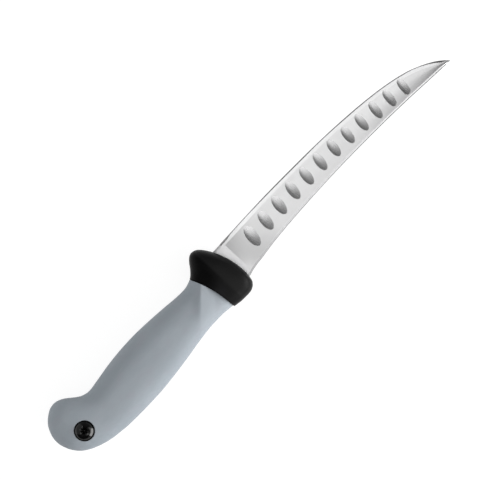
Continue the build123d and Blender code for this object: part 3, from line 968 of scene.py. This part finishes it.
def tang_plate():
    """Tang, a plate that runs back from the heel inside the grip."""
    half, reach = TANG_DEPTH / 2, TANG_DEPTH / 2 - TANG_END_BREAK
    front, back = FRONT_X - HEEL_SETBACK + TANG_LAP, FRONT_X - TANG_LENGTH
    outline = [(front, TANG_Y + half), (front, TANG_Y - half)]
    for number in range(TANG_END_STEPS + 1):
        turn = pi * (0.5 + number / TANG_END_STEPS)
        outline.append((back + reach + reach * cos(turn), TANG_Y - reach * sin(turn)))
    levels = (-TANG_THICKNESS / 2, TANG_THICKNESS / 2)
    return ringed("tang", [[(x, y, z) for x, y in outline] for z in levels])


def mark_zone_edges(piece):
    """Smooth shading, with sharp edges where two finishes of the blade meet."""
    mesh = piece.data
    zones = [entry.value for entry in mesh.attributes["finish"].data]
    shape = bmesh.new()
    shape.from_mesh(mesh)
    shape.faces.ensure_lookup_table()
    for edge in shape.edges:
        touching = {round(zones[face.index]) for face in edge.link_faces}
        edge.smooth = len(touching) == 1
    for face in shape.faces:
        face.smooth = True
    shape.to_mesh(mesh)
    shape.free()


def build_blade():
    """Ground blade and its tang as one piece."""
    steel = satin_steel()
    stations = blade_stations()
    sections = [blade_ring(station) for station in stations]
    blade = ringed("blade_ground", sections, blade_zone(stations))
    grinding, sizes = hollow_tree(steel)
    grind = blade.modifiers.new("hollows", "NODES")
    grind.node_group = grinding
    for key, value in sizes.items():
        grind[key] = value
    settle(blade)
    mark_zone_edges(blade)
    tang = tang_plate()
    tang.data.attributes.new("finish", "FLOAT", "FACE")
    for entry in tang.data.attributes["finish"].data:
        entry.value = ZONES["ricasso"]
    tang.data.materials.append(steel)
    reach = SLEEVE_DIAMETER / 2 + FIT_GAP
    hole = [round_ring(reach, TANG_HOLE_REACH, side, points=TANG_HOLE_POINTS) for side in (-1, 1)]
    carve(tang, [ringed("tang_hole", hole)])
    together = [blade, tang]
    with bpy.context.temp_override(
        active_object=blade,
        object=blade,
        selected_objects=together,
        selected_editable_objects=together,
    ):
        bpy.ops.object.join()
    return blade


blade = build_blade()

# Guard
guard_front = FRONT_X - GUARD_START
guard_form = rounded_form(
    GUARD_SHARES, guard_front, guard_front - GUARD_LENGTH, GUARD_THICKNESS / 2
)


def scooped(point):
    """Scoop out the finger side of the guard towards the seam."""
    x, y, z = point
    low, high = SCOOP_SIDE
    side = ease((y - low) / (high - low))
    return x, y, z * (1 - SCOOP_SHARE * side * ease((FRONT_X - x - SCOOP_START) / SCOOP_RUN))


def socket_ring(x, ring):
    """Ring of the spigot's socket that faces the points of a ring round it."""
    half_depth, half = SPIGOT_DEPTH / 2 + FIT_GAP, SPIGOT_THICKNESS / 2 + FIT_GAP
    power = SPIGOT_SQUARENESS
    points = []
    for number in range(len(ring)):
        turn = 2 * pi * number / len(ring)
        reach = 1 / (abs(cos(turn)) ** power + abs(sin(turn)) ** power) ** (1 / power)
        points.append((x, TANG_Y + half_depth * reach * cos(turn), half * reach * sin(turn)))
    return points


def guard_collar():
    """Collar with a rounded nose, a finger lobe and a socket for the spigot."""
    rings = [[(guard_front, AXIS_Y - FRONT_DROP, 0)]]
    for number in range(1, GUARD_RINGS + 1):
        part = (number / GUARD_RINGS) ** GUARD_RING_POWER
        place = guard_front - (SEAM_SETBACK - GUARD_START) * part
        if number == GUARD_RINGS:
            place += SEAM_EDGE_RADIUS
        ring = ring_on(guard_form, place, ease(part * SEAM_LEAD), GUARD_POINTS)
        rings.append([scooped(point) for point in ring])
    seam = FRONT_X - SEAM_SETBACK
    for turn in (30, 60, 90):
        drop = SEAM_EDGE_RADIUS * (1 - cos(radians(turn)))
        place = seam + SEAM_EDGE_RADIUS * (1 - sin(radians(turn))) + SEAM_GAP_AHEAD
        ring = ring_on(guard_form, place, 1, GUARD_POINTS, grow=-drop)
        rings.append([scooped(point) for point in ring])
    face = seam + SEAM_GAP_AHEAD
    ring = ring_on(guard_form, face, 1, GUARD_POINTS, grow=-SEAM_FACE)
    rings.append(ring)
    rings.append([(x + seam_sag(y), y, z) for x, y, z in socket_ring(face, ring)])
    end = FRONT_X - SPIGOT_END + FIT_GAP
    rings.append(socket_ring(end, ring))
    rings.append([(end, TANG_Y, 0)])
    return ringed("guard_collar", rings)


def build_guard():
    """Collar with a slot for the blade's heel and a way for the tang."""
    guard = guard_collar()
    half = BLADE_THICKNESS / 2 + FIT_GAP / 2
    inner = half - WAY_INSET
    _, heel_edge, heel_spine = BLADE_SHARES[0]
    tang_reach = TANG_DEPTH / 2 + FIT_GAP
    slot = slab_body(
        "slot",
        (FRONT_X - HEEL_SETBACK - FIT_GAP, AXIS_Y + BLADE_DEPTH * heel_spine - FIT_GAP, -half),
        (FRONT_X + SLOT_OVERRUN, AXIS_Y + BLADE_DEPTH * heel_edge + FIT_GAP, half),
    )
    way = slab_body(
        "way",
        (FRONT_X - SPIGOT_END - WAY_OVERRUN, TANG_Y - tang_reach, -inner),
        (FRONT_X - HEEL_SETBACK + WAY_OVERRUN, TANG_Y + tang_reach, inner),
    )
    carve(guard, [slot, way])
    smooth_shade(guard, SHARP_DEGREES)
    return guard


guard = build_guard()

# Grip
grip_form = rounded_form(
    GRIP_SHARES, FRONT_X - HANDLE_LENGTH, FRONT_X - SEAM_SETBACK + SEAM_LAP, GRIP_THICKNESS / 2
)


def creased(point):
    """Hollow the finger side behind the guard, up to a soft crease along the thumb's rest."""
    x, y, z = point
    along, away = on_crease(x, y)
    finger = min((away + hypot(away, CREASE_SOFTNESS)) / 2 / CREASE_REACH, 1)
    thumb = min((hypot(away, CREASE_SOFTNESS) - away) / 2 / THUMB_REACH, 1)

    def left(span):
        return 1 - ease((along - span[0]) / (span[1] - span[0]))

    depth = CREASE_SHARE * sin(finger * pi / 2) * left(CREASE_FADE)
    return x, y, z * (1 - (depth + THUMB_SHARE * thumb * left(THUMB_FADE)))


def grip_top(x, y):
    """Half thickness of the grip over a point of its middle plane."""
    middle, half_depth, half = grip_form(x)
    across = min(abs(y - middle) / half_depth, 1)
    return half * (1 - across**SQUARENESS) ** (1 / SQUARENESS)


def screw_way():
    """Cutter of the screw's hole, flared to a rounded rim on both sides of the grip."""

    def ring(reach, drop, side):
        turned = []
        for number in range(HOLE_POINTS):
            turn = 2 * pi * number / HOLE_POINTS
            x, y = SCREW_X + reach * cos(turn), SCREW_Y + reach * sin(turn)
            turned.append((x, y, side * (grip_top(x, y) - drop)))
        return turned

    reach = HOLE_DIAMETER / 2
    half = []
    for turn in HOLE_LIP_TURNS:
        out = reach + HOLE_LIP * (1 - cos(radians(turn)))
        half.append((out, HOLE_LIP * (1 - sin(radians(turn)))))
    half.append((reach + HOLE_LIP * HOLE_FLARE_SHARE, -HOLE_FLARE_RISE))
    rings = [[(SCREW_X, SCREW_Y, -HOLE_REACH)]]
    rings += [ring(out, drop, -1) for out, drop in reversed(half)]
    rings += [ring(out, drop, 1) for out, drop in half]
    rings.append([(SCREW_X, SCREW_Y, HOLE_REACH)])
    return ringed("screw_way", rings)


def grip_places():
    """Places of the grip's rings from the pommel's end to the seam."""
    pommel, front = FRONT_X - HANDLE_LENGTH, FRONT_X - SEAM_SETBACK
    parts = [number / POMMEL_RINGS for number in range(1, POMMEL_RINGS)]
    places = [pommel + POMMEL_RUN * part**2 for part in parts]
    spans = ((pommel + FINE_RING_END, FINE_RING_STEP), (front - LAST_RING_SETBACK, RING_STEP))
    places += stepped(pommel + POMMEL_RUN, spans)
    return places + [front - SEAM_EDGE_RADIUS - LAST_RING_GAP]


def grip_skin():
    """Soft skin: outside from the pommel to the seam, then back along the inside."""
    pommel = FRONT_X - HANDLE_LENGTH
    front = FRONT_X - SEAM_SETBACK - SEAM_GAP_BEHIND
    pole_y = AXIS_Y + POMMEL_RISE

    def bend_at(place):
        return ease((place - pommel - GRIP_STRAIGHT) / (front - pommel - GRIP_STRAIGHT))

    def crease_ring(place, bend, **change):
        ring = ring_on(grip_form, place, bend, GRIP_POINTS, **change)
        return [creased(point) for point in ring]

    rings = [[(pommel, pole_y, 0)]]
    rings += [crease_ring(place, bend_at(place)) for place in grip_places()]
    for turn in (45, 90):
        drop = GRIP_EDGE_RADIUS * (1 - cos(radians(turn)))
        place = front - GRIP_EDGE_RADIUS * (1 - sin(radians(turn)))
        rings.append(crease_ring(place, 1, grow=-drop))
    place = front
    while place > pommel + INNER_RING_END:
        rings.append(crease_ring(place, bend_at(place), skin=SKIN_WALL))
        place -= INNER_RING_STEP
    for step in INNER_POMMEL_RINGS:
        skin = SKIN_WALL * INNER_POMMEL_SHARE
        rings.append(ring_on(grip_form, pommel + step, 0, GRIP_POINTS, skin=skin))
    rings.append([(pommel + SKIN_WALL, pole_y, 0)])
    return ringed("grip_skin", rings)


grip = grip_skin()
carve(grip, [screw_way()])
smooth_shade(grip, SHARP_DEGREES)


# Pommel screw and sleeve nut
def head_rings(side):
    """Rings of a domed head from under its rim to the bottom of its recess."""
    half = HEAD_DIAMETER / 2
    under = HEAD_UNDER_BREAK
    rings = [round_ring(half - under, PAD_Z, side), round_ring(half, PAD_Z + under, side)]
    mouth = RECESS_REACH + RECESS_LOBE + RECESS_LAND
    run, rise = half - mouth, HEAD_MOUTH_HEIGHT - HEAD_RIM
    middle = atan2(rise, run)
    spread = asin(hypot(run, rise) / 2 / HEAD_CURVE_RADIUS)
    for number in range(2 * HEAD_CURVE_STEPS + 1):
        tilt = middle + spread * (1 - number / HEAD_CURVE_STEPS)
        reach = half - HEAD_CURVE_RADIUS * (sin(middle + spread) - sin(tilt))
        z = HEAD_RIM + HEAD_CURVE_RADIUS * (cos(tilt) - cos(middle + spread))
        rings.append(round_ring(reach, PAD_Z + z, side))
    top = PAD_Z + HEAD_MOUTH_HEIGHT
    floor = top - RECESS_DEPTH
    for out, drop in RECESS_MOUTH:
        ring = round_ring(RECESS_REACH + out, top - drop, side, RECESS_LOBE, HEAD_MOUTH_SLOPE)
        rings.append(ring)
    for inset, rise, share in RECESS_FLOOR:
        rings.append(round_ring(RECESS_REACH - inset, floor + rise, side, RECESS_LOBE * share))
    cone = (RECESS_REACH - RECESS_FLOOR[-1][0]) * tan(radians(RECESS_CONE_DEGREES))
    rings.append(round_ring(RECESS_TIP_REACH, floor - cone * RECESS_TIP_SHARE, side))
    rings.append([(SCREW_X, SCREW_Y, side * (floor - cone))])
    return rings


def screw_or_nut(name, end, profile, side):
    """Turned piece from the point of its end through a profile to its head."""
    rings = [[(SCREW_X, SCREW_Y, side * end)]]
    rings += [round_ring(reach, z, side) for reach, z in profile]
    piece = ringed(name, rings + head_rings(side))
    smooth_shade(piece, SCREW_SHARP_DEGREES)
    return piece


def build_screw():
    """Screw with a plain shank."""
    end, reach = PAD_Z - SHANK_LENGTH, SHANK_DIAMETER / 2
    profile = (
        (reach - SHANK_END_BREAK, end),
        (reach, end + SHANK_END_BREAK),
        (reach, PAD_Z - SHANK_FILLET),
        (reach + SHANK_FILLET, PAD_Z),
    )
    return screw_or_nut("screw_pommel", end, profile, 1)


def build_nut():
    """Nut with a sleeve that takes the shank."""
    end, floor = PAD_Z - SLEEVE_LENGTH, PAD_Z - SLEEVE_FLOOR
    outer, bore = SLEEVE_DIAMETER / 2, SHANK_DIAMETER / 2 + FIT_GAP
    profile = (
        (bore, floor),
        (bore, end + SLEEVE_BREAK),
        (bore + SLEEVE_BREAK, end),
        (outer - SLEEVE_BREAK, end),
        (outer, end + SLEEVE_BREAK),
        (outer, PAD_Z),
    )
    return screw_or_nut("nut_pommel", floor, profile, -1)


screw = build_screw()
nut = build_nut()

# Finishes on the pieces, and what each stands for
oxide = oiled_black()
guard.data.materials.append(guard_moulding())
grip.data.materials.append(soft_rubber())
screw.data.materials.append(oxide)
nut.data.materials.append(oxide)
hidden = core_moulding()
for node in ("core_left", "core_right"):
    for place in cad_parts[node].material_slots:
        place.material = hidden
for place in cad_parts["tang_pins"].material_slots:
    place.material = drawn_steel()

for piece, node, slot_name in (
    (blade, "blade", "blade_steel"),
    (guard, "guard", "guard_plastic"),
    (grip, "grip", "grip_rubber"),
    (screw, "clamp_screw", "screw_steel"),
    (nut, "barrel_nut", "screw_steel"),
):
    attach(piece, "root")
    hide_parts(node)


# Studio, in metres and degrees
WHITE = (1, 1, 1, 1)
SKY_LEVEL = 0.545
FLOOR_REACH = 4.0
FLOOR_TONE = 0.8
FLOOR_SEEN_TONE = 0.25
FLOOR_SEEN_GLOW = 0.85

# Lamps: place, width, depth and level
LAMPS = {
    "lamp_spine_side": ((0.44, -0.9, 0.32), 1.2, 0.5, 1.4),
    "lamp_edge_side": ((-0.5, 0.85, 0.65), 2.0, 1.6, 0.35),
}

# Cards that only steel and gloss see: level, from and to which angle off the zenith they
# reach, the angle to each side, turn about the upright axis, and height
CARDS = {
    "card_dark": (0.2, 2.0, 80, 76, 76, 4.0),
    "card_bright": (2.15, -50, 2.0, 60, 76, 4.0),
    "card_back": (0.04, 30, 84, 72, 200, 3.9),
    "card_ahead": (0.1, 8, 42, 50, 0, 3.8),
    "card_low": (0.5, 54, 86, 62, -60, 4.2),
}

# Camera straight above, turned so that the knife runs from lower left to upper right
CAMERA_TURN = -47.5
CAMERA_HEIGHT = 6.0
FRAME_WIDTH = 0.2472
SENSOR_WIDTH = 36.0
CAMERA_AIM = (-0.0004, 0.004355, 0.012)


def view_rays(tree):
    """1 for the camera's rays and for what steel and glass show."""
    path = tree.add("ShaderNodeLightPath")
    return path["Is Camera Ray"].most(path["Is Glossy Ray"]).most(path["Is Transmission Ray"])


def level_sheet(name, height, low, high, turn=0.0):
    """Level sheet between two corners, turned about the upright axis."""
    mesh = bpy.data.meshes.new(name)
    turn = radians(turn)
    points = []
    for x, y in (low, (high[0], low[1]), high, (low[0], high[1])):
        points.append((x * cos(turn) - y * sin(turn), x * sin(turn) + y * cos(turn), height))
    mesh.from_pydata(points, [], [(0, 1, 2, 3)])
    sheet = bpy.data.objects.new(name, mesh)
    bpy.context.scene.collection.objects.link(sheet)
    return sheet


def build_floor():
    """White floor that keeps a light shadow."""
    finish, tree = new_finish("floor_white")
    plain, faint = (
        tree.add("ShaderNodeBsdfDiffuse", {"Color": grey(tone)})["BSDF"]
        for tone in (FLOOR_TONE, FLOOR_SEEN_TONE)
    )
    glow = {"Color": WHITE, "Strength": FLOOR_SEEN_GLOW}
    glow = tree.add("ShaderNodeEmission", glow)["Emission"]
    seen = tree.add("ShaderNodeAddShader", {0: faint, 1: glow})["Shader"]
    both = tree.add("ShaderNodeMixShader", {0: view_rays(tree), 1: plain, 2: seen})["Shader"]
    tree.add("ShaderNodeOutputMaterial", {"Surface": both})
    floor = level_sheet("floor", 0, (-FLOOR_REACH, -FLOOR_REACH), (FLOOR_REACH, FLOOR_REACH))
    floor.data.materials.append(finish)


def build_sky():
    """Even sky, white where it is seen."""
    world = bpy.data.worlds.new("studio")
    world.use_nodes = True
    world.node_tree.nodes.clear()
    tree = Tree(world.node_tree)
    dim, white = (
        tree.add("ShaderNodeBackground", {"Color": WHITE, "Strength": level})[0]
        for level in (SKY_LEVEL, 1.0)
    )
    both = tree.add("ShaderNodeMixShader", {0: view_rays(tree), 1: dim, 2: white})["Shader"]
    tree.add("ShaderNodeOutputWorld", {"Surface": both})
    bpy.context.scene.world = world


def build_lamp(name, place, width, depth, level):
    """Soft box aimed at the knife; its level is what a white card facing it would show."""
    lamp = bpy.data.lights.new(name, "AREA")
    lamp.shape = "RECTANGLE"
    lamp.size, lamp.size_y = width, depth
    away = sqrt(sum(value**2 for value in place))
    lamp.energy = level * (pi * away) ** 2
    holder = bpy.data.objects.new(name, lamp)
    bpy.context.scene.collection.objects.link(holder)
    holder.location = place
    holder.rotation_mode = "QUATERNION"
    holder.rotation_quaternion = (-holder.location).to_track_quat("-Z", "Y")


def build_card(name, level, near, far, across, turn, height):
    """Sheet overhead that only steel and gloss see."""
    finish, tree = new_finish(name)
    shade = tree.add("ShaderNodeEmission", {"Color": WHITE, "Strength": level})["Emission"]
    tree.add("ShaderNodeOutputMaterial", {"Surface": shade})
    start, end, side = (height * tan(radians(angle)) for angle in (near, far, across))
    card = level_sheet(name, height, (start, -side), (end, side), turn)
    card.data.materials.append(finish)
    card.visible_camera = False
    card.visible_diffuse = False
    card.visible_shadow = False
    card.visible_transmission = False


def build_camera():
    """Camera whose view is as wide as the frame at the knife's middle."""
    lens = bpy.data.cameras.new("camera")
    lens.sensor_width = SENSOR_WIDTH
    lens.lens = SENSOR_WIDTH * CAMERA_HEIGHT / FRAME_WIDTH
    camera = bpy.data.objects.new("camera", lens)
    bpy.context.scene.collection.objects.link(camera)
    x, y, z = CAMERA_AIM
    camera.location = (x, y, z + CAMERA_HEIGHT)
    camera.rotation_euler = (0, 0, radians(CAMERA_TURN))
    bpy.context.scene.camera = camera


build_floor()
build_sky()
for name, sizes in LAMPS.items():
    build_lamp(name, *sizes)
for name, sizes in CARDS.items():
    build_card(name, *sizes)
build_camera()
bpy.context.scene.view_settings.view_transform = "Standard"
